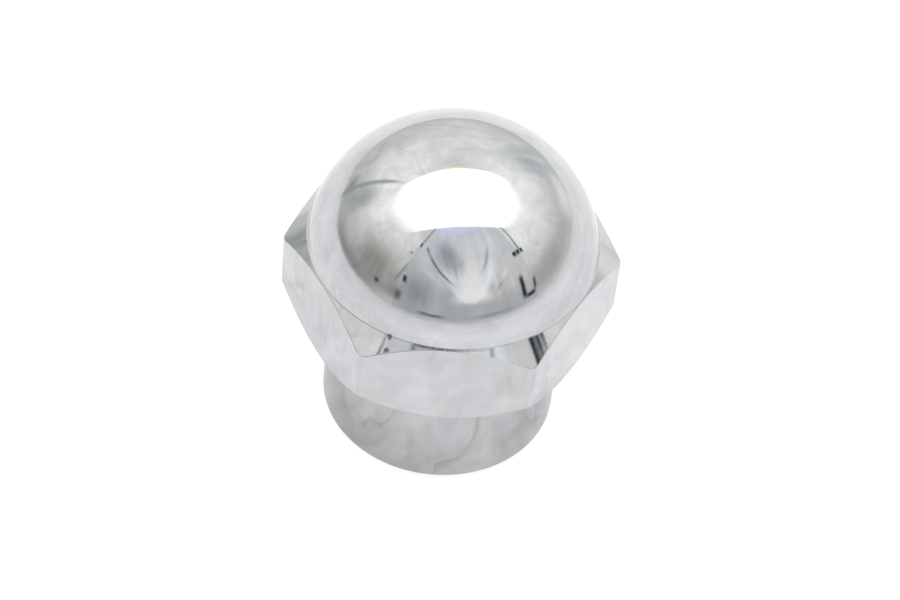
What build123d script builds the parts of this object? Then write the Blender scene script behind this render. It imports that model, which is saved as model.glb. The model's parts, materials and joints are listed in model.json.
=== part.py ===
from build123d import *
from math import cos, radians, tan
import os

# Driving dimensions, in millimetres and degrees. The nut stands on its collar, with its axis on Z
# and a flat of the hexagon facing -Y.

# Hexagon, a 1-1/8 in wrench size
ACROSS_FLATS = 28.575
HEXAGON_HEIGHT = 10.7  # from the underside to the top of a flat, at the flat's middle
UPRIGHT_EDGE_ROUNDING = 1.1
FLAT_EDGE_BEVEL = 0.1  # along the curved edges at the top and bottom of each flat

# Underside of the hexagon: a flat ring, then a chamfer that rises to the corners
UNDERSIDE_RING_WIDTH = 2.02
UNDERSIDE_CHAMFER_ANGLE = 48.0

# Shoulder: a cone that falls from the foot of the dome to the corners
SHOULDER_ANGLE = 42.0
SHOULDER_RIM = 0.17  # what is left of the shoulder between the dome and the middle of a flat

# Dome, one arc from its foot to the crown
DOME_HEIGHT = 11.67  # above the top of a flat

# Collar below the hexagon, on whose end the nut bears
COLLAR_LENGTH = 12.0
COLLAR_WALL = 2.025  # outside the thread
COLLAR_END_CHAMFER = 0.4

# Blind hole for a 3/4-16 UNF thread, drawn at its tap drill size
THREAD_MAJOR_DIAMETER = 19.05
THREAD_PITCH = 1.5875
THREAD_LENGTH = 20.0
TAP_LEAD = 4.0  # depth past the last full thread
DRILL_POINT_ANGLE = 118.0
COUNTERSINK_OVERSIZE = 0.175  # beyond the thread's radius
COUNTERSINK_ANGLE = 90.0

# Sizes that follow
FULL_TURN = 360
SIDES = 6
flat_radius = ACROSS_FLATS / 2
corner_radius = flat_radius / cos(radians(FULL_TURN / SIDES / 2))

flat_top = COLLAR_LENGTH + HEXAGON_HEIGHT
overall_height = flat_top + DOME_HEIGHT

thread_radius = THREAD_MAJOR_DIAMETER / 2
collar_radius = thread_radius + COLLAR_WALL
ring_radius = collar_radius + UNDERSIDE_RING_WIDTH

chamfer_slope = tan(radians(UNDERSIDE_CHAMFER_ANGLE))
shoulder_slope = tan(radians(SHOULDER_ANGLE))
chamfer_top = COLLAR_LENGTH + (corner_radius - ring_radius) * chamfer_slope
shoulder_bottom = flat_top - (corner_radius - flat_radius) * shoulder_slope
dome_foot_radius = flat_radius - SHOULDER_RIM
dome_foot_height = flat_top + SHOULDER_RIM * shoulder_slope

bore_radius = (THREAD_MAJOR_DIAMETER - THREAD_PITCH) / 2
bore_depth = THREAD_LENGTH + TAP_LEAD
drill_point_depth = bore_radius / tan(radians(DRILL_POINT_ANGLE / 2))
mouth_radius = thread_radius + COUNTERSINK_OVERSIZE
mouth_depth = (mouth_radius - bore_radius) / tan(radians(COUNTERSINK_ANGLE / 2))


with BuildPart() as axle_nut:
    # Hexagon bar
    with BuildSketch() as bar:
        RegularPolygon(radius=flat_radius, side_count=SIDES, major_radius=False)
        fillet(bar.vertices(), radius=UPRIGHT_EDGE_ROUNDING)
    extrude(amount=overall_height)

    # Collar, underside, shoulder and dome, turned from the bar
    with BuildSketch(Plane.XZ) as turned:
        with BuildLine():
            Polyline(
                (0, overall_height),
                (0, 0),
                (collar_radius, 0),
                (collar_radius, COLLAR_LENGTH),
                (ring_radius, COLLAR_LENGTH),
                (corner_radius, chamfer_top),
                (corner_radius, shoulder_bottom),
                (dome_foot_radius, dome_foot_height),
            )
            TangentArc((0, overall_height), (dome_foot_radius, dome_foot_height), tangent=(1, 0))
        make_face()
        collar_corners = turned.vertices().filter_by_position(Axis.X, collar_radius, collar_radius)
        chamfer(collar_corners.sort_by(Axis.Y)[0], length=COLLAR_END_CHAMFER)
    revolve(axis=Axis.Z, mode=Mode.INTERSECT)

    # The edges that the flats leave on the two cones are neither straight nor round
    cone_edges = axle_nut.faces().filter_by(GeomType.CONE).edges()
    flat_ends = cone_edges.filter_by(GeomType.LINE, reverse=True).filter_by(GeomType.CIRCLE, reverse=True)
    chamfer(flat_ends, length=FLAT_EDGE_BEVEL)

    # Blind tapped hole, from the collar's end
    with BuildSketch(Plane.XZ):
        with BuildLine():
            Polyline(
                (0, 0),
                (mouth_radius, 0),
                (bore_radius, mouth_depth),
                (bore_radius, bore_depth),
                (0, bore_depth + drill_point_depth),
                close=True,
            )
        make_face()
    revolve(axis=Axis.Z, mode=Mode.SUBTRACT)

axle_nut.part.label = "axle_nut"
os.makedirs("parts", exist_ok=True)
export_step(axle_nut.part, "parts/axle_nut.step")
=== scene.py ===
import json
from math import cos, radians, sin, tan

import bmesh
import bpy
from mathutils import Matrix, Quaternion, Vector

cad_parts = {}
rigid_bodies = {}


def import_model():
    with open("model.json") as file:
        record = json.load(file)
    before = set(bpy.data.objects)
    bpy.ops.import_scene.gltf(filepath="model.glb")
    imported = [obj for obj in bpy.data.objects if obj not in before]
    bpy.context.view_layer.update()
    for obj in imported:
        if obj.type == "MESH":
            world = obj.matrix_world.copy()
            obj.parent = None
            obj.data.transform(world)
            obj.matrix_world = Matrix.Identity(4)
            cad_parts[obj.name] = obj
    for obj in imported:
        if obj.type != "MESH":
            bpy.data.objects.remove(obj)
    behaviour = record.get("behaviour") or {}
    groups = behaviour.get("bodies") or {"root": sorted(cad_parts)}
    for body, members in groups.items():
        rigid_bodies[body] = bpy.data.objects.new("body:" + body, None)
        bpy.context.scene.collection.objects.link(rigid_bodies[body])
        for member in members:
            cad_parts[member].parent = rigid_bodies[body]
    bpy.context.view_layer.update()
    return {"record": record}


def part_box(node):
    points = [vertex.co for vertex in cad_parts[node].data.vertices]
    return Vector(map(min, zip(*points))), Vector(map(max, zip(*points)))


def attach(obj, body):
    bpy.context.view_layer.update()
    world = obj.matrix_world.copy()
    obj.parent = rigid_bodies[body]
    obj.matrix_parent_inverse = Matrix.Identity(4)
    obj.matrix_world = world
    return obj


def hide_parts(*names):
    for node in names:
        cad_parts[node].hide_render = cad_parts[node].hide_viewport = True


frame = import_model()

# The scene is in metres. The nut's dimensions and its modelling are in millimetres, and the
# finished nut is brought to metres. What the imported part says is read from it.
MM = 0.001
MICRON = 0.000001

mounts = {mount["name"]: mount for mount in frame["record"]["mounts"]}
nut_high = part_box("axle_nut")[1]
overall_height = nut_high.z / MM
flat_radius = nut_high.y / MM
bore_radius = mounts["axle_thread"]["dims"]["r_mm"]
collar_radius = mounts["collar"]["dims"]["r_mm"]

COLLAR_LENGTH = 12.0
COLLAR_END_CHAMFER = 0.4
HEXAGON_HEIGHT = 10.7  # to the top of a flat, at the flat's middle
HEXAGON_SIDES = 6
HALF_SIDE_ANGLE = radians(30)  # between a flat's middle and its corner, seen along the axis
UPRIGHT_EDGE_ROUNDING = 1.1
UNDERSIDE_RING_WIDTH = 2.02
UNDERSIDE_CHAMFER_ANGLE = radians(48)
SHOULDER_ANGLE = radians(42)
SHOULDER_RIM = 0.17  # what is left of the shoulder at the middle of a flat

THREAD_MAJOR_RADIUS = 9.525
THREAD_PITCH = 1.5875
THREAD_FLANK_ANGLE = radians(30)
THREAD_LENGTH = 20.0
TAP_LEAD = 4.0  # over which the tap's teeth fade out, past the last full thread
TAP_INSIDE_BORE = 0.25  # how far the tap's teeth start inside the bore's wall
TAP_LEAST_TOOTH = 0.02  # what is left of a tooth at the lead's end
DRILL_POINT_ANGLE = radians(118)
MOUTH_RADIUS = 9.7

# Edges that polishing has softened
FLAT_END_EASING = 0.10
DOME_FOOT_EASING = 0.08
TURNED_EDGE_EASING = 0.06
COLLAR_ROOT_EASING = 0.20

# How finely the round surfaces are cut
TURN_STEPS = 288
DOME_RINGS = 128
CORNER_STEPS = 9
EASING_STEPS = 3
THREAD_STEPS = 96
SMOOTH_ANGLE = radians(30)
SAME_PLACE = 0.005  # for finding an edge by its place
SAME_POINT = 0.0002  # for merging points

# Sizes that follow
corner_radius = flat_radius / cos(HALF_SIDE_ANGLE)
flat_top = COLLAR_LENGTH + HEXAGON_HEIGHT
ring_radius = collar_radius + UNDERSIDE_RING_WIDTH
chamfer_top = COLLAR_LENGTH + (corner_radius - ring_radius) * tan(UNDERSIDE_CHAMFER_ANGLE)
shoulder_bottom = flat_top - (corner_radius - flat_radius) * tan(SHOULDER_ANGLE)
dome_foot_radius = flat_radius - SHOULDER_RIM
dome_foot_height = flat_top + SHOULDER_RIM * tan(SHOULDER_ANGLE)
dome_rise = overall_height - dome_foot_height
dome_radius = (dome_rise ** 2 + dome_foot_radius ** 2) / (2 * dome_rise)
dome_centre = overall_height - dome_radius
bore_depth = THREAD_LENGTH + TAP_LEAD
drill_tip = bore_depth + bore_radius / tan(DRILL_POINT_ANGLE / 2)
mouth_depth = MOUTH_RADIUS - bore_radius


# Modelling

def start_piece(name):
    """Names the new primitive and puts its place into its mesh."""
    piece = bpy.context.object
    piece.name = name
    piece.data.name = name
    bpy.ops.object.transform_apply(location=True, rotation=True, scale=True)
    return piece


def deselect_objects():
    """Clears the selection, because an operator acts on all that is selected."""
    bpy.ops.object.select_all(action="DESELECT")


def edit(piece):
    """Opens a piece in edit mode with nothing selected."""
    deselect_objects()
    piece.select_set(True)
    bpy.context.view_layer.objects.active = piece
    bpy.ops.object.mode_set(mode="EDIT")
    bpy.ops.mesh.select_mode(type="EDGE")
    bpy.ops.mesh.select_all(action="DESELECT")


def end_edit():
    """Goes back to object mode."""
    bpy.ops.object.mode_set(mode="OBJECT")


def select_edges(piece, wanted):
    """Selects the edges that a test picks."""
    bpy.ops.mesh.select_all(action="DESELECT")
    mesh = bmesh.from_edit_mesh(piece.data)
    for edge in mesh.edges:
        if wanted(edge):
            edge.select = True
    mesh.select_flush_mode()
    bmesh.update_edit_mesh(piece.data)


def on_ring(edge, radius, height):
    """True for an edge of the turned ring at that radius and height."""
    return all(
        abs(vert.co.z - height) < SAME_PLACE and abs(vert.co.xy.length - radius) < SAME_PLACE
        for vert in edge.verts
    )


def ease_ring(piece, radius, height, width):
    """Softens the turned edge at that radius and height."""
    select_edges(piece, lambda edge: on_ring(edge, radius, height))
    bpy.ops.mesh.bevel(offset=width, segments=EASING_STEPS, affect="EDGES")


def extrude_ring(start, end):
    """Draws the selected ring out to the next radius and height of the turned outline."""
    bpy.ops.mesh.extrude_region()
    if end[0] != start[0]:
        grown = end[0] / start[0]
        bpy.ops.transform.resize(value=(grown, grown, 1), center_override=(0, 0, start[1]))
    if end[1] != start[1]:
        bpy.ops.transform.translate(value=(0, 0, end[1] - start[1]))


def apply_boolean(piece, tool, operation):
    """Cuts a piece with a tool, and puts the tool away."""
    cut = piece.modifiers.new("cut", "BOOLEAN")
    cut.operation = operation
    cut.solver = "EXACT"
    cut.object = tool
    deselect_objects()
    bpy.context.view_layer.objects.active = piece
    bpy.ops.object.modifier_apply(modifier=cut.name)
    bpy.data.objects.remove(tool)


def turned_blank():
    """The nut as it leaves the lathe: dome, shoulder, underside, collar and drilled hole."""
    bpy.ops.mesh.primitive_uv_sphere_add(
        segments=TURN_STEPS, ring_count=DOME_RINGS, radius=dome_radius, location=(0, 0, dome_centre)
    )
    blank = start_piece("polished_nut")
    edit(blank)
    bpy.ops.mesh.select_all(action="SELECT")
    bpy.ops.mesh.bisect(plane_co=(0, 0, dome_foot_height), plane_no=(0, 0, 1), clear_inner=True)
    select_edges(blank, lambda edge: edge.is_boundary)
    outline = [
        (dome_foot_radius, dome_foot_height),
        (corner_radius, shoulder_bottom),
        (corner_radius, chamfer_top),
        (ring_radius, COLLAR_LENGTH),
        (collar_radius, COLLAR_LENGTH),
        (collar_radius, COLLAR_END_CHAMFER),
        (collar_radius - COLLAR_END_CHAMFER, 0),
        (MOUTH_RADIUS, 0),
        (bore_radius, mouth_depth),
        (bore_radius, bore_depth),
    ]
    for start, end in zip(outline, outline[1:]):
        extrude_ring(start, end)
    bpy.ops.mesh.extrude_region()
    bpy.ops.transform.translate(value=(0, 0, drill_tip - bore_depth))
    bpy.ops.mesh.merge(type="CENTER")
    bpy.ops.mesh.select_all(action="SELECT")
    bpy.ops.mesh.normals_make_consistent(inside=False)

    ease_ring(blank, dome_foot_radius, dome_foot_height, DOME_FOOT_EASING)
    ease_ring(blank, ring_radius, COLLAR_LENGTH, TURNED_EDGE_EASING)
    ease_ring(blank, collar_radius, COLLAR_LENGTH, COLLAR_ROOT_EASING)
    ease_ring(blank, collar_radius, COLLAR_END_CHAMFER, TURNED_EDGE_EASING)
    ease_ring(blank, collar_radius - COLLAR_END_CHAMFER, 0, TURNED_EDGE_EASING)
    ease_ring(blank, MOUTH_RADIUS, 0, TURNED_EDGE_EASING)
    end_edit()
    return blank


def hexagon_bar():
    """A length of hexagon bar with rounded corners, to cut the flats with."""
    bpy.ops.mesh.primitive_cylinder_add(
        vertices=HEXAGON_SIDES, radius=corner_radius, depth=2 * overall_height,
        location=(0, 0, overall_height / 2), rotation=(0, 0, HALF_SIDE_ANGLE),
    )
    bar = start_piece("hexagon_bar")
    edit(bar)
    select_edges(bar, lambda edge: abs(edge.verts[0].co.z - edge.verts[1].co.z) > overall_height)
    bpy.ops.mesh.bevel(
        offset=UPRIGHT_EDGE_ROUNDING * tan(HALF_SIDE_ANGLE), segments=CORNER_STEPS, affect="EDGES"
    )
    end_edit()
    return bar


def ease_flat_ends(nut):
    """Softens the curved edges that the flats leave on the two cones."""
    upright_limit, sloping_limit = 0.02, 0.5  # how much of the normal points along the axis

    def is_flat_end(edge):
        """True where a flat meets a cone, outside the hole."""
        if len(edge.link_faces) != 2 or edge.verts[0].co.xy.length < ring_radius:
            return False
        upright, sloping = sorted(edge.link_faces, key=lambda face: abs(face.normal.z))
        return abs(upright.normal.z) < upright_limit and abs(sloping.normal.z) > sloping_limit

    edit(nut)
    select_edges(nut, is_flat_end)
    bpy.ops.mesh.bevel(offset=FLAT_END_EASING, segments=EASING_STEPS, affect="EDGES")
    end_edit()


def tap():
    """One long helical tooth, to cut the thread with. It fades out along the tap's lead."""
    root_radius = bore_radius - TAP_INSIDE_BORE
    half_crest = THREAD_PITCH / 16  # the crest's flat is an eighth of the pitch
    half_root = half_crest + (THREAD_MAJOR_RADIUS - root_radius) * tan(THREAD_FLANK_ANGLE)
    middle = (root_radius + THREAD_MAJOR_RADIUS) / 2
    first_turn = -THREAD_PITCH
    last_turn = bore_depth - THREAD_PITCH

    # The tooth's outline, narrower at its outer end
    bpy.ops.mesh.primitive_plane_add(
        size=1, location=(middle, 0, first_turn), rotation=(radians(90), 0, 0)
    )
    tooth = start_piece("tap")
    edit(tooth)
    bpy.ops.mesh.select_all(action="SELECT")
    bpy.ops.transform.resize(
        value=(THREAD_MAJOR_RADIUS - root_radius, 1, 2 * half_root),
        center_override=(middle, 0, first_turn),
    )
    select_edges(tooth, lambda edge: min(vert.co.x for vert in edge.verts) > middle)
    bpy.ops.transform.resize(
        value=(1, 1, half_crest / half_root), center_override=(middle, 0, first_turn)
    )
    bpy.ops.mesh.select_all(action="SELECT")
    bpy.ops.mesh.delete(type="ONLY_FACE")
    end_edit()

    helix = tooth.modifiers.new("helix", "SCREW")
    helix.axis = "Z"
    helix.angle = radians(360)
    helix.screw_offset = THREAD_PITCH
    helix.iterations = round((last_turn - first_turn) / THREAD_PITCH)
    helix.steps = helix.render_steps = THREAD_STEPS
    helix.use_merge_vertices = False
    bpy.ops.object.modifier_apply(modifier=helix.name)

    edit(tooth)
    select_edges(tooth, lambda edge: edge.is_boundary)
    bpy.ops.mesh.fill_holes(sides=4)
    bpy.ops.mesh.select_all(action="SELECT")
    bpy.ops.mesh.normals_make_consistent(inside=False)
    end_edit()

    for vert in tooth.data.vertices:
        past = vert.co.z - THREAD_LENGTH
        if past > 0 and vert.co.xy.length > bore_radius:
            shrunk = THREAD_MAJOR_RADIUS - (THREAD_MAJOR_RADIUS - root_radius) * past / TAP_LEAD
            vert.co.xy = vert.co.xy.normalized() * max(shrunk, root_radius + TAP_LEAST_TOOTH)
    return tooth


def polished_nut():
    """The whole nut: one turned piece with its flats milled and its hole tapped."""
    nut = turned_blank()
    apply_boolean(nut, hexagon_bar(), "INTERSECT")
    ease_flat_ends(nut)
    apply_boolean(nut, tap(), "DIFFERENCE")
    edit(nut)
    bpy.ops.mesh.select_all(action="SELECT")
    bpy.ops.mesh.remove_doubles(threshold=SAME_POINT)
    bpy.ops.mesh.normals_make_consistent(inside=False)
    end_edit()

    bpy.ops.object.shade_smooth_by_angle(angle=SMOOTH_ANGLE)
    even = nut.modifiers.new("even", "WEIGHTED_NORMAL")
    even.keep_sharp = True
    bpy.ops.object.modifier_apply(modifier=even.name)
    nut.scale = (MM, MM, MM)
    bpy.ops.object.transform_apply(location=False, rotation=False, scale=True)
    return nut


# Materials

def linear(hex_colour):
    """The linear colour, with its alpha, of an sRGB hex value."""
    channels = [int(hex_colour[i:i + 2], 16) / 255 for i in (1, 3, 5)]
    turned = [c / 12.92 if c <= 0.04045 else ((c + 0.055) / 1.055) ** 2.4 for c in channels]
    return (*turned, 1.0)


def new_material(name):
    """An empty material and its node tree."""
    material = bpy.data.materials.new(name)
    material.use_nodes = True
    material.node_tree.nodes.clear()
    return material, material.node_tree


def add_node(tree, kind, inputs=None, **settings):
    """Adds a shader node with its settings. An input is given by its name or place, and takes a
    value, a socket, or a node, whose first output in use is then linked."""
    node = tree.nodes.new("ShaderNode" + kind)
    for name, value in settings.items():
        setattr(node, name, value)
    for name, value in (inputs or {}).items():
        if isinstance(name, int):
            socket = node.inputs[name]
        else:
            socket = next(each for each in node.inputs if each.enabled and each.name == name)
        if isinstance(value, bpy.types.Node):
            value = next(each for each in value.outputs if each.enabled)
        if isinstance(value, bpy.types.NodeSocket):
            tree.links.new(value, socket)
        else:
            socket.default_value = value
    return node


# The plate's marks and its painted reflections, in millimetres. Heights of bumps are in thousandths of
# a millimetre.
BUFFING_WAVE = 4.0
BUFFING_WAVE_HEIGHT = 16
HAZE_PATCH = 3.2
# The painted reflections of creases in the cloth under the nut: their spacing, place and slant
REFLECTED_CREASE_SPACING = 7.0
REFLECTED_CREASE_OFFSET = (5 * MM, 2 * MM, 9 * MM)
REFLECTED_CREASE_SLANT = radians(28)

# Where specks of dried polish sit on the shoulder, and how far they reach
SPECKS = [
    ((-5.6, -13.1, 22.8), 0.36),
    ((-5.8, -14.0, 21.9), 0.38),
]
SPECK_GRAIN = 0.25
# The thin line of it that is left under the dome, from its thick end to where it has faded out
POLISH_LINE_START = -3.4
POLISH_LINE_THICK_END = -0.5
POLISH_LINE_END = 4.4
POLISH_LINE_OUTSIDE_DOME = 0.07


def chrome_plate():
    """Chrome plate over polished steel: a cool mirror, with the faint unevenness of hand buffing and
    painted reflections of creases in the cloth below.
    """
    material, tree = new_material("chrome_plate_polished")
    place = add_node(tree, "TexCoord").outputs["Object"]
    axes = add_node(tree, "SeparateXYZ", {"Vector": place})
    height = axes.outputs["Z"]

    # Buffing leaves shallow waves a few millimetres long, which make the reflections waver
    waves = add_node(tree, "TexNoise", {
        "Vector": place, "Scale": 1 / (BUFFING_WAVE * MM), "Detail": 2.0, "Roughness": 0.45})
    wave_bump = add_node(tree, "Bump", {
        "Height": waves, "Distance": BUFFING_WAVE_HEIGHT * MICRON, "Strength": 1.0})

    # A thin haze in soft patches, where the buff has passed less often
    haze = add_node(tree, "TexNoise", {
        "Vector": place, "Scale": 1 / (HAZE_PATCH * MM), "Detail": 5.0, "Roughness": 0.62,
        "Distortion": 0.6})
    patches = add_node(tree, "MapRange", {"Value": haze, "From Min": 0.32, "From Max": 0.68})
    roughness = add_node(tree, "MapRange", {"Value": patches, "To Min": 0.03, "To Max": 0.09})

    # Painted reflection: a few long curved darker lines, where the cloth's creases would show in the
    # metal, painted into the plate's colour. They are sharp at one side and soft at the other, and most
    # of them are on the collar
    slanted_place = add_node(tree, "Mapping", {
        "Vector": place, "Location": REFLECTED_CREASE_OFFSET, "Rotation": (0.0, REFLECTED_CREASE_SLANT, 0.0),
        "Scale": (1.0, 1.0, 0.5)})
    drift = add_node(tree, "TexNoise", {
        "Vector": slanted_place, "Scale": 1 / (REFLECTED_CREASE_SPACING * MM), "Detail": 1.5, "Distortion": 0.4})
    begins = add_node(tree, "MapRange", {
        "Value": drift, "From Min": 0.500, "From Max": 0.510}, interpolation_type="SMOOTHSTEP")
    ends = add_node(tree, "MapRange", {
        "Value": drift, "From Min": 0.510, "From Max": 0.570, "To Min": 1.0, "To Max": 0.0},
        interpolation_type="SMOOTHSTEP")
    places = add_node(tree, "TexNoise", {
        "Vector": place, "Scale": 1 / (REFLECTED_CREASE_SPACING * MM), "Detail": 2.0})
    here = add_node(tree, "MapRange", {
        "Value": places, "From Min": 0.46, "From Max": 0.60, "To Max": 0.26},
        interpolation_type="SMOOTHSTEP")
    more_below = add_node(tree, "MapRange", {
        "Value": height, "From Min": 10 * MM, "From Max": 14 * MM, "To Min": 1.5, "To Max": 0.7})
    reflected_crease = add_node(tree, "Math", {0: begins, 1: ends}, operation="MULTIPLY")
    reflected_crease_here = add_node(tree, "Math", {0: reflected_crease, 1: here}, operation="MULTIPLY")
    painted_crease_reflection = add_node(tree, "Math", {0: reflected_crease_here, 1: more_below}, operation="MULTIPLY")

    tone = add_node(tree, "Mix", {
        "Factor": patches, "A": linear("#C6C7C9"), "B": linear("#BBBCBE")}, data_type="RGBA")
    # Painted reflection: the crease lines darken the plate's colour
    tone_with_painted_creases = add_node(tree, "Mix", {
        "Factor": painted_crease_reflection, "A": tone, "B": linear("#8E9092")}, data_type="RGBA")

    # Specks of dried polish are left on the shoulder, and a thin line of it just under the dome, at
    # the front. The line is a narrow band round the axis, cut off to the left, behind and below.
    grain = add_node(tree, "TexNoise", {
        "Vector": place, "Scale": 1 / (SPECK_GRAIN * MM), "Detail": 3.0})
    flattened = add_node(tree, "VectorMath", {0: place, 1: (1, 1, 0)}, operation="MULTIPLY")
    radius = add_node(tree, "VectorMath", {0: flattened}, operation="LENGTH")
    past_line = add_node(tree, "Math", {
        0: radius, 1: (dome_foot_radius + POLISH_LINE_OUTSIDE_DOME) * MM}, operation="SUBTRACT")
    off_line = add_node(tree, "Math", {0: past_line}, operation="ABSOLUTE")
    line = add_node(tree, "MapRange", {
        "Value": off_line, "From Min": 0.08 * MM, "From Max": 0.17 * MM, "To Min": 1.0, "To Max": 0.0})
    for along, begin, end, low, high in (
        (axes.outputs["X"], POLISH_LINE_START, POLISH_LINE_START + 0.2, 0.0, 1.0),
        (axes.outputs["X"], POLISH_LINE_THICK_END, POLISH_LINE_END, 1.0, 0.0),
        (axes.outputs["Y"], -2.0, -1.0, 1.0, 0.0),
        (height, flat_top - 0.08, flat_top + 0.02, 0.0, 1.0),
        (height, dome_foot_height, dome_foot_height + 0.05, 1.0, 0.0),
    ):
        kept = add_node(tree, "MapRange", {
            "Value": along, "From Min": begin * MM, "From Max": end * MM, "To Min": low,
            "To Max": high})
        line = add_node(tree, "Math", {0: line, 1: kept}, operation="MULTIPLY")
    broken = add_node(tree, "MapRange", {
        "Value": grain, "From Min": 0.3, "From Max": 0.6, "To Min": 0.45, "To Max": 0.85})
    specks = add_node(tree, "Math", {0: line, 1: broken}, operation="MULTIPLY")
    ragged = add_node(tree, "MapRange", {
        "Value": grain, "From Min": 0.3, "From Max": 0.7, "To Min": 0.6, "To Max": 1.6})
    for spot, reach in SPECKS:
        centre = tuple(each * MM for each in spot)
        offset = add_node(tree, "VectorMath", {0: place, 1: centre}, operation="SUBTRACT")
        apart = add_node(tree, "VectorMath", {0: offset}, operation="LENGTH")
        edge = add_node(tree, "Math", {0: apart, 1: ragged}, operation="MULTIPLY")
        speck = add_node(tree, "MapRange", {
            "Value": edge, "From Min": 0.5 * reach * MM, "From Max": reach * MM, "To Min": 0.8,
            "To Max": 0.0}, interpolation_type="SMOOTHSTEP")
        specks = add_node(tree, "Math", {0: speck, 1: specks}, operation="MAXIMUM")
    dirty = add_node(tree, "Mix", {
        "Factor": specks, "A": tone_with_painted_creases, "B": linear("#46302E")}, data_type="RGBA")
    speck_roughness = add_node(tree, "Math", {0: specks, 1: 0.6}, operation="MULTIPLY")
    roughness = add_node(tree, "Math", {0: roughness, 1: speck_roughness}, operation="MAXIMUM")

    shader = add_node(tree, "BsdfPrincipled", {
        "Base Color": dirty, "Metallic": 1.0, "Roughness": roughness, "Normal": wave_bump})
    add_node(tree, "OutputMaterial", {"Surface": shader})
    return material


# Inside the hole, in the same units
TOOL_MARK_SPACING = 0.15
TOOL_MARK_HEIGHT = 6
OIL_PATCH = 2.5


def tapped_steel():
    """Bare turned steel inside the hole, which plating hardly reaches: grey and dull, with the tap's
    and the drill's fine rings and a thin film of oil in patches."""
    material, tree = new_material("tapped_steel")
    place = add_node(tree, "TexCoord").outputs["Object"]

    # Tool marks run round the hole. They are drawn about three times as coarse as real ones.
    rings = add_node(tree, "Mapping", {"Vector": place, "Scale": (0.05, 0.05, 1.0)})
    marks = add_node(tree, "TexNoise", {
        "Vector": rings, "Scale": 1 / (TOOL_MARK_SPACING * MM), "Detail": 3.0})
    mark_bump = add_node(tree, "Bump", {
        "Height": marks, "Distance": TOOL_MARK_HEIGHT * MICRON, "Strength": 1.0})

    oil = add_node(tree, "TexNoise", {
        "Vector": place, "Scale": 1 / (OIL_PATCH * MM), "Detail": 5.0})
    film = add_node(tree, "MapRange", {"Value": oil, "From Min": 0.38, "From Max": 0.66})
    tone = add_node(tree, "Mix", {
        "Factor": film, "A": linear("#A9A8A5"), "B": linear("#85827D")}, data_type="RGBA")
    roughness = add_node(tree, "MapRange", {"Value": film, "To Min": 0.42, "To Max": 0.28})
    shader = add_node(tree, "BsdfPrincipled", {
        "Base Color": tone, "Metallic": 1.0, "Roughness": roughness, "Normal": mark_bump})
    add_node(tree, "OutputMaterial", {"Surface": shader})
    return material


def finish_surfaces(nut):
    """Chrome outside, and bare steel inside the hole."""
    past_tip = 0.1
    nut.data.materials.append(chrome_plate())
    nut.data.materials.append(tapped_steel())
    for face in nut.data.polygons:
        inside_mouth = face.center.xy.length < MOUTH_RADIUS * MM
        below_tip = face.center.z < (drill_tip + past_tip) * MM
        face.material_index = 1 if inside_mouth and below_tip else 0


# Stage

FLOOR_SIZE = 3.0
FLOOR_LIGHT = 0.80
CLOTH_LIFT = 0.00002  # above the floor
TENT_RADIUS = 0.80
TENT_FOLD = 0.16
LAMP_HEIGHT = 0.36
LAMP_TURN = radians(8)
LAMP_FRONT_EDGE = radians(72)  # the height above the horizon at which the nut sees it
LAMP_BACK_EDGE = radians(64)
LAMP_HALF_WIDTH = 1.19  # times the lamp's height
LAMP_BULGE = 0.28  # how much narrower it is at its front and back than at its middle
LAMP_STRENGTH = 3.0
CARD_RADIUS = 0.72
CARD_GAP = 0.008  # between one card and the next one in front of it
tent_centre = Vector((0, 0, dome_centre * MM))

# The photograph's view. The aim and the distance are in millimetres, the angles in degrees.
CAMERA_AIM = (0.14, -3.17, 17.19)
CAMERA_DISTANCE = 329.4
CAMERA_AZIMUTH = -2.867
CAMERA_ELEVATION = 49.071
CAMERA_ROLL = 6.364
CAMERA_SENSOR = 36
CAMERA_LENS = 136.35
CAMERA_NEAR, CAMERA_FAR = 0.01, 5


def toward(azimuth, elevation):
    """The direction at an azimuth, from 0 in front to 90 on the right, and an elevation, in degrees."""
    turn, rise = radians(azimuth), radians(elevation)
    return Vector((sin(turn) * cos(rise), -cos(turn) * cos(rise), sin(rise)))


def hide_from_camera(piece):
    """A light or a wall is seen in the metal and never by itself."""
    piece.visible_camera = False


def only_in_metal(piece):
    """A card or cloth that the metal shows, and that neither lights nor shades anything."""
    piece.visible_diffuse = False
    piece.visible_shadow = False
    piece.active_material.cycles.emission_sampling = "NONE"
    hide_from_camera(piece)


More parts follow.
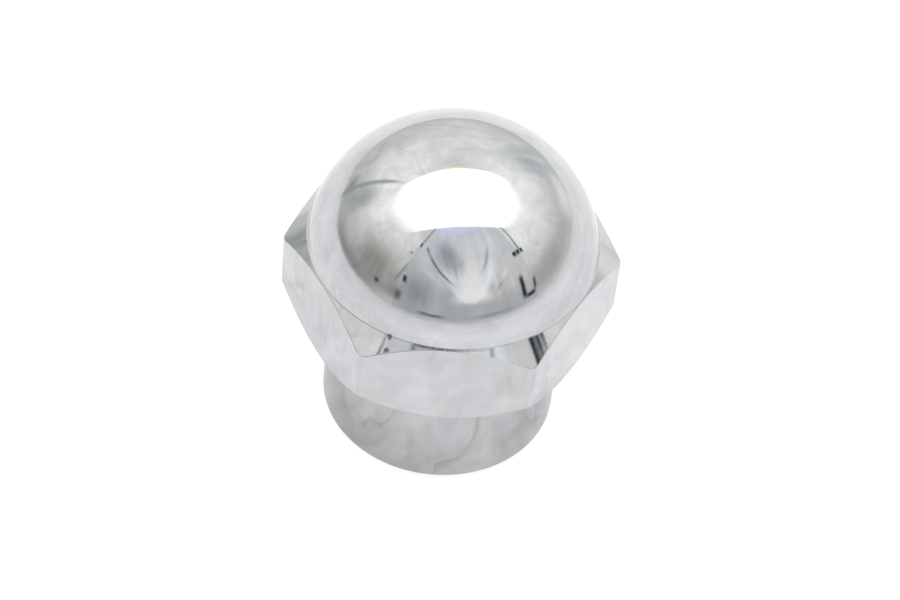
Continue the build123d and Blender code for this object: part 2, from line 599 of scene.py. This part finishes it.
def glow(name, colour, levels, soft=(0.0, 0.0), folds=0, depth=0.0):
    """A lit cloth. Its brightness goes from one level at its foot to the other at its top, it carries
    the painted shade of so many folds of such depth, and it fades out over the soft shares of its width
    and height."""
    red, green, blue = linear(colour)[:3]
    paleness = 0.2126 * red + 0.7152 * green + 0.0722 * blue
    foot_level, top_level = levels
    material, tree = new_material(name)
    spot = add_node(tree, "TexCoord").outputs["UV"]
    sides = add_node(tree, "SeparateXYZ", {"Vector": spot})
    level = add_node(tree, "MapRange", {
        "Value": sides.outputs["Y"], "To Min": foot_level / paleness, "To Max": top_level / paleness})
    # Painted shade of folds on the flat cloth
    if folds:
        hung = add_node(tree, "Mapping", {"Vector": spot, "Scale": (folds, 0.7, 1.0)})
        wrinkles = add_node(tree, "TexNoise", {
            "Vector": hung, "Scale": 1.0, "Detail": 3.0, "Distortion": 0.5})
        shade = add_node(tree, "MapRange", {
            "Value": wrinkles, "From Min": 0.3, "From Max": 0.7, "To Min": 1 - depth,
            "To Max": 1 + depth})
        level = add_node(tree, "Math", {0: level, 1: shade}, operation="MULTIPLY")
    shader = add_node(tree, "Emission", {"Color": linear(colour), "Strength": level})
    shown = 1.0
    for axis, fade in zip(("X", "Y"), soft):
        off_middle = add_node(tree, "Math", {0: sides.outputs[axis], 1: 0.5}, operation="SUBTRACT")
        outward = add_node(tree, "Math", {0: off_middle}, operation="ABSOLUTE")
        inside = add_node(tree, "MapRange", {
            "Value": outward, "From Min": 0.5, "From Max": 0.4999 - fade / 2},
            interpolation_type="SMOOTHSTEP")
        shown = add_node(tree, "Math", {0: inside, 1: shown}, operation="MULTIPLY")
    clear = add_node(tree, "BsdfTransparent")
    faded = add_node(tree, "MixShader", {0: shown, 1: clear, 2: shader})
    add_node(tree, "OutputMaterial", {"Surface": faded})
    return material


def floor():
    """Plain white paper over a lit table, so that the nut's own shadow stays faint."""
    bpy.ops.mesh.primitive_plane_add(size=FLOOR_SIZE)
    table = start_piece("floor")
    material, tree = new_material("white_paper")
    paper = add_node(tree, "BsdfDiffuse", {"Color": linear("#8C8C8C")})
    table_light = add_node(tree, "Emission", {"Color": linear("#FFFFFF"), "Strength": FLOOR_LIGHT})
    both = add_node(tree, "AddShader", {0: paper, 1: table_light})
    add_node(tree, "OutputMaterial", {"Surface": both})
    table.data.materials.append(material)


def cloth_on_table():
    """What the metal shows of the table: a cloth that isn't quite even, shaded round the nut's foot
    and towards the open front."""
    bpy.ops.mesh.primitive_circle_add(
        vertices=96, radius=TENT_RADIUS, fill_type="NGON", location=(0, 0, CLOTH_LIFT)
    )
    cloth = start_piece("cloth_on_table")
    material, tree = new_material("table_cloth")
    place = add_node(tree, "TexCoord").outputs["Object"]
    axes = add_node(tree, "SeparateXYZ", {"Vector": place})
    away = add_node(tree, "VectorMath", {0: place}, operation="LENGTH")

    # Small creases, and broad waves over the whole table
    creases = add_node(tree, "TexNoise", {
        "Vector": place, "Scale": 1 / (5 * MM), "Detail": 6.0, "Roughness": 0.6, "Distortion": 0.8})
    crease_shade = add_node(tree, "MapRange", {
        "Value": creases, "From Min": 0.3, "From Max": 0.7, "To Min": -0.11, "To Max": 0.11})
    broad = add_node(tree, "TexNoise", {
        "Vector": place, "Scale": 1 / (90 * MM), "Detail": 5.0, "Roughness": 0.6, "Distortion": 1.0})
    broad_shade = add_node(tree, "MapRange", {
        "Value": broad, "From Min": 0.3, "From Max": 0.7, "To Min": -0.10, "To Max": 0.10})
    uneven = add_node(tree, "Math", {0: crease_shade, 1: broad_shade}, operation="ADD")
    side_light = add_node(tree, "MapRange", {
        "Value": axes.outputs["X"], "From Min": -40 * MM, "From Max": 40 * MM, "To Min": -0.06,
        "To Max": -0.03})
    # Painted shade near the nut: the cloth is darker close to it and brighter further off
    near_and_far = add_node(tree, "MapRange", {
        "Value": away, "From Min": 30 * MM, "From Max": 100 * MM, "To Min": 1.23, "To Max": 1.32})
    sided = add_node(tree, "Math", {0: uneven, 1: side_light}, operation="ADD")
    lit = add_node(tree, "Math", {0: sided, 1: near_and_far}, operation="ADD")

    # Shade towards the front
    facing = add_node(tree, "Math", {0: axes.outputs["Y"], 1: away}, operation="DIVIDE")
    frontness = add_node(tree, "MapRange", {
        "Value": facing, "From Min": -1.0, "From Max": 1.0, "To Min": 0.42, "To Max": 0.0})
    far_off = add_node(tree, "MapRange", {"Value": away, "From Min": 0.10, "From Max": 0.45})
    far_shade = add_node(tree, "Math", {0: frontness, 1: far_off}, operation="MULTIPLY")

    # Shade round the foot, deeper at its sides
    off_side = add_node(tree, "Math", {0: axes.outputs["X"], 1: 5 * MM}, operation="SUBTRACT")
    off_either_side = add_node(tree, "Math", {0: off_side}, operation="ABSOLUTE")
    foot_depth = add_node(tree, "MapRange", {
        "Value": off_either_side, "From Max": collar_radius * MM, "To Min": 0.23, "To Max": 0.46})
    foot_near = add_node(tree, "MapRange", {
        "Value": away, "From Min": collar_radius * MM, "From Max": 24 * MM, "To Min": 1.0,
        "To Max": 0.0}, interpolation_type="SMOOTHSTEP")
    foot_shade = add_node(tree, "Math", {0: foot_depth, 1: foot_near}, operation="MULTIPLY")

    shade = add_node(tree, "Math", {0: far_shade, 1: foot_shade}, operation="ADD")
    level = add_node(tree, "Math", {0: lit, 1: shade}, operation="SUBTRACT")
    tint = add_node(tree, "TexNoise", {
        "Vector": place, "Scale": 1 / (9 * MM), "Detail": 3.0, "Distortion": 0.6})
    cast = add_node(tree, "Mix", {
        "Factor": tint, "A": linear("#FFFAF4"), "B": linear("#F3F8FF")}, data_type="RGBA")
    shader = add_node(tree, "Emission", {"Color": cast, "Strength": level})
    add_node(tree, "OutputMaterial", {"Surface": shader})
    cloth.data.materials.append(material)
    only_in_metal(cloth)


def tent():
    """The pale cloth round the nut, which the chrome reflects. It is brighter at the back, has painted
    light near the lamp's ends, and painted shade in its folds."""
    bpy.ops.mesh.primitive_uv_sphere_add(segments=96, ring_count=48, radius=TENT_RADIUS)
    cloth = start_piece("tent")
    material, tree = new_material("tent_cloth")
    place = add_node(tree, "TexCoord").outputs["Object"]
    axes = add_node(tree, "SeparateXYZ", {"Vector": place})
    sideways = add_node(tree, "Math", {0: axes.outputs["X"]}, operation="ABSOLUTE")
    wall = add_node(tree, "MapRange", {
        "Value": axes.outputs["Y"], "From Min": -TENT_RADIUS, "From Max": TENT_RADIUS,
        "To Min": 0.50, "To Max": 1.10})
    # Painted light from the lamp, near the lamp's ends
    near_lamp = add_node(tree, "MapRange", {
        "Value": axes.outputs["Z"], "From Min": 0.1 * TENT_RADIUS, "From Max": 0.75 * TENT_RADIUS},
        interpolation_type="SMOOTHSTEP")
    lamp_share = add_node(tree, "MapRange", {
        "Value": sideways, "From Max": TENT_RADIUS, "To Min": 0.3, "To Max": 0.9})
    from_lamp = add_node(tree, "Math", {0: near_lamp, 1: lamp_share}, operation="MULTIPLY")
    lit = add_node(tree, "Math", {0: wall, 1: from_lamp}, operation="ADD")
    # Painted shade of the cloth's folds
    folds = add_node(tree, "TexNoise", {
        "Vector": place, "Scale": 1 / TENT_FOLD, "Detail": 6.0, "Roughness": 0.6, "Distortion": 1.0})
    fold_shade = add_node(tree, "MapRange", {
        "Value": folds, "From Min": 0.3, "From Max": 0.7, "To Min": 0.86, "To Max": 1.12})
    level = add_node(tree, "Math", {0: lit, 1: fold_shade}, operation="MULTIPLY")
    shader = add_node(tree, "Emission", {"Color": linear("#F4F5F1"), "Strength": level})
    add_node(tree, "OutputMaterial", {"Surface": shader})
    material.cycles.emission_sampling = "NONE"
    cloth.data.materials.append(material)
    hide_from_camera(cloth)


def overhead_lamp():
    """A wide softbox above the nut, with a clean front edge and ends that fade out."""
    front = LAMP_HEIGHT / tan(LAMP_FRONT_EDGE)
    back = LAMP_HEIGHT / tan(LAMP_BACK_EDGE)
    half_width = LAMP_HEIGHT * LAMP_HALF_WIDTH
    bpy.ops.mesh.primitive_grid_add(x_subdivisions=16, y_subdivisions=16, size=2)
    lamp = start_piece("overhead_softbox")
    for vert in lamp.data.vertices:
        across, back_share = vert.co.x, (vert.co.y + 1) / 2
        width = half_width * (1 - LAMP_BULGE * vert.co.y ** 2)
        place = Vector((across * width, (front + back) * back_share - front, LAMP_HEIGHT))
        place.rotate(Quaternion((0, 0, 1), LAMP_TURN))
        vert.co = place
    cloth = glow("softbox_cloth", "#FFFFFF", (LAMP_STRENGTH, LAMP_STRENGTH), soft=(0.7, 0.0))
    lamp.data.materials.append(cloth)
    hide_from_camera(lamp)


def card(name, middle, size, colour, levels, soft=(0.3, 0.3), lean=0, tilt=0, foot=1.0, folds=0,
         depth=0.0):
    """A card or cloth near the tent's wall, in front of the cards before it. Its middle and size are
    azimuth and elevation in degrees. Its top leans sideways and its right end tilts up by so many
    degrees, and its foot is so many times as wide as its top."""
    bpy.ops.mesh.primitive_grid_add(x_subdivisions=24, y_subdivisions=24, size=2)
    piece = start_piece(name)
    cards_so_far = sum(1 for each in bpy.data.objects if each.get("card"))
    radius = CARD_RADIUS - CARD_GAP * cards_so_far
    for vert in piece.data.vertices:
        across, up = vert.co.x, vert.co.y
        width = foot + (1 - foot) * sin(radians(90) * (up + 1) / 2)
        azimuth = middle[0] + across * width * size[0] / 2 + up * lean / 2
        elevation = middle[1] + up * size[1] / 2 + across * tilt / 2
        vert.co = tent_centre + radius * toward(azimuth, elevation)
    piece["card"] = True
    piece.data.materials.append(glow(name, colour, levels, soft, folds, depth))
    only_in_metal(piece)


def cards():
    """What the tent holds beside its cloth: its open front with a gathered drape, its corners and
    its clips."""
    # The cloth's sweep from the wall to the floor
    card("sweep", (0, 0), (360, 14), "#F2F3F2", (0.86, 0.86), soft=(0.0, 1.0))
    # The open front, darker towards its foot
    card("front_opening", (12, 35), (108, 76), "#EEF0F2", (0.66, 1.05),
         soft=(0.03, 0.03), folds=6, depth=0.10)
    card("opening_upper_left", (-30, 45), (26, 22), "#EEF0F0", (0.95, 1.00), soft=(0.6, 0.9))
    card("opening_low_left", (-25, 16), (40, 36), "#DFE5EA", (0.48, 0.58),
         soft=(0.9, 0.9), folds=6, depth=0.25)
    card("opening_low_right", (46, 26), (42, 34), "#F2F2EC", (0.85, 1.15),
         soft=(0.7, 0.7), folds=6, depth=0.28)
    card("crumpled_cloth", (46, 28), (8, 10), "#F4F4F0", (1.25, 1.25), soft=(1.0, 1.0), lean=8)
    card("crumpled_shade", (39, 21), (7, 10), "#D8DCDC", (0.60, 0.60), soft=(1.0, 1.0), lean=8)
    # The drape that is gathered to a point in it, and its folds, whose light and shade are painted on
    # flat cards
    card("drape", (15, 41), (102, 60), "#E4E8EC", (1.25, 1.00),
         soft=(0.16, 0.1), foot=0.05, folds=10, depth=0.14)
    card("drape_left", (-8, 48), (46, 34), "#DCE1E8", (0.54, 0.60),
         soft=(0.9, 0.9), lean=-22, folds=5, depth=0.15)
    card("drape_light_fold", (-17, 31), (44, 10), "#EEF0F0", (0.92, 0.92), soft=(0.7, 1.0), tilt=-18)
    card("drape_dark_fold", (-14, 37), (38, 4), "#C4CCD8", (0.22, 0.22), soft=(0.6, 1.0), tilt=-25)
    card("drape_knot", (-30, 48), (8, 4), "#A0A8B0", (0.20, 0.20), soft=(1.0, 1.0), tilt=-4)
    card("drape_inner_fold", (1, 42), (5, 28), "#D8DEE4", (0.62, 0.60), soft=(1.0, 0.9), lean=-8)
    card("drape_wedge", (17, 31), (15, 42), "#FAF9F5", (1.52, 1.10), soft=(0.7, 0.4), foot=3.2)
    card("drape_right_fold", (34, 43), (6, 24), "#D0D6DC", (0.54, 0.66), soft=(1.0, 0.9), lean=18)
    card("drape_right_light", (45, 46), (9, 26), "#F2F4F4", (1.12, 1.12), soft=(1.0, 0.9), lean=22)
    card("drape_top", (10, 67), (100, 12), "#D2DAEC", (0.95, 1.15), soft=(0.08, 0.9))
    # The walls beside it
    card("front_left_wall", (-64, 16), (60, 50), "#EAE6DE", (0.30, 0.62),
         soft=(0.9, 1.0), folds=8, depth=0.25)
    card("front_right_wall", (84, 10), (44, 24), "#EAEAE4", (0.58, 0.68), soft=(0.9, 0.9))
    card("left_corner", (-122, 22), (6, 60), "#E0E6E6", (0.48, 0.56), soft=(1.0, 0.5), lean=4)
    card("left_corner_foot", (-126, 5), (18, 14), "#B4B8B8", (0.50, 0.50), soft=(1.0, 1.0))
    card("left_corner_shade", (-114, 16), (24, 44), "#E6EAEA", (0.60, 0.74), soft=(1.0, 0.8), lean=8)
    card("right_corner", (144, 18), (36, 52), "#E2E6E8", (0.70, 0.84),
         soft=(1.0, 1.0), lean=10, folds=9, depth=0.3)
    card("lamp_fringe", (178, 62), (100, 5), "#FFE6C4", (1.30, 1.40), soft=(0.8, 0.8))
    card("right_wall_light", (128, 4), (30, 16), "#F2F2EE", (1.22, 1.22), soft=(0.8, 0.8))
    # The opening's edges and the clips that hold it
    card("opening_edge_left", (-37.5, 57), (3, 22), "#9AA2AA", (0.30, 0.34), soft=(1.0, 0.5), lean=4)
    card("opening_edge_low", (-43, 24), (4, 26), "#9AA2AA", (0.40, 0.40), soft=(1.0, 0.8), lean=6)
    card("edge_knot_upper", (-39, 48.5), (3.5, 4), "#26282A", (0.02, 0.02), soft=(0.6, 0.6))
    card("edge_knot_lower", (-43.5, 40), (3, 4), "#26282A", (0.30, 0.30), soft=(0.8, 0.8))
    card("opening_edge_right", (68, 46), (4, 34), "#9AA2AA", (0.40, 0.50), soft=(1.0, 0.5), lean=4)
    card("edge_stripes", (63.2, 34.5), (11, 6), "#686C70", (0.30, 0.30), soft=(0.6, 0.9))
    card("edge_stripe_inner", (60.5, 35.2), (3.8, 4.5), "#26282A", (0.01, 0.01), soft=(0.6, 0.7))
    card("edge_stripe_middle", (64.6, 34.4), (2.4, 4.5), "#26282A", (0.01, 0.01), soft=(0.6, 0.7))
    card("edge_stripe_outer", (68.2, 33.4), (2.8, 4.5), "#26282A", (0.01, 0.01), soft=(0.6, 0.7))
    card("clip_right", (55.5, 12), (6, 22), "#202224", (0.01, 0.01), soft=(0.9, 0.5), lean=1)
    card("clip_right_foot", (60, 4), (11, 5.5), "#202224", (0.01, 0.01), soft=(0.7, 0.9))
    card("clip_right_arm", (65, 9), (4, 12), "#202224", (0.03, 0.03), soft=(1.0, 0.8), lean=3)
    card("clip_left", (-38, 21), (5, 7), "#202224", (0.01, 0.01), soft=(0.7, 0.7), lean=-2)
    card("clip_left_low", (-39, 8), (9, 13), "#404448", (0.16, 0.16), soft=(1.0, 0.9))
    card("clip_far_left", (-57, 7), (6, 6), "#202430", (0.03, 0.03), soft=(0.9, 0.9))
    # The shade along the foot of the cloth
    card("foot_left", (-84, 1), (76, 15), "#B4B6B6", (0.42, 0.42), soft=(0.8, 1.0), tilt=5)
    card("foot_middle", (-13, 1.5), (26, 4), "#606468", (0.20, 0.20), soft=(0.7, 1.0))
    card("foot_right", (30, 1.5), (44, 4), "#909498", (0.50, 0.50), soft=(0.9, 1.0))


def camera():
    """The photograph's view: from above the front, tilted a little."""
    back = toward(CAMERA_AZIMUTH, CAMERA_ELEVATION)
    eye = bpy.data.objects.new("camera", bpy.data.cameras.new("camera"))
    bpy.context.scene.collection.objects.link(eye)
    eye.location = (Vector(CAMERA_AIM) + back * CAMERA_DISTANCE) * MM
    eye.rotation_mode = "QUATERNION"
    roll = Quaternion((0, 0, 1), radians(CAMERA_ROLL))
    eye.rotation_quaternion = (-back).to_track_quat("-Z", "Y") @ roll
    eye.data.sensor_width = CAMERA_SENSOR
    eye.data.lens = CAMERA_LENS
    eye.data.clip_start = CAMERA_NEAR
    eye.data.clip_end = CAMERA_FAR
    bpy.context.scene.camera = eye


def white_surroundings():
    """An even white behind everything, shown as it is."""
    world = bpy.data.worlds.new("white")
    bpy.context.scene.world = world
    world.use_nodes = True
    background = world.node_tree.nodes["Background"]
    background.inputs["Color"].default_value = linear("#FFFFFF")
    background.inputs["Strength"].default_value = 1.0
    bpy.context.scene.view_settings.view_transform = "Standard"


nut = polished_nut()
finish_surfaces(nut)
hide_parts("axle_nut")
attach(nut, "root")

floor()
cloth_on_table()
tent()
overhead_lamp()
cards()
camera()
white_surroundings()
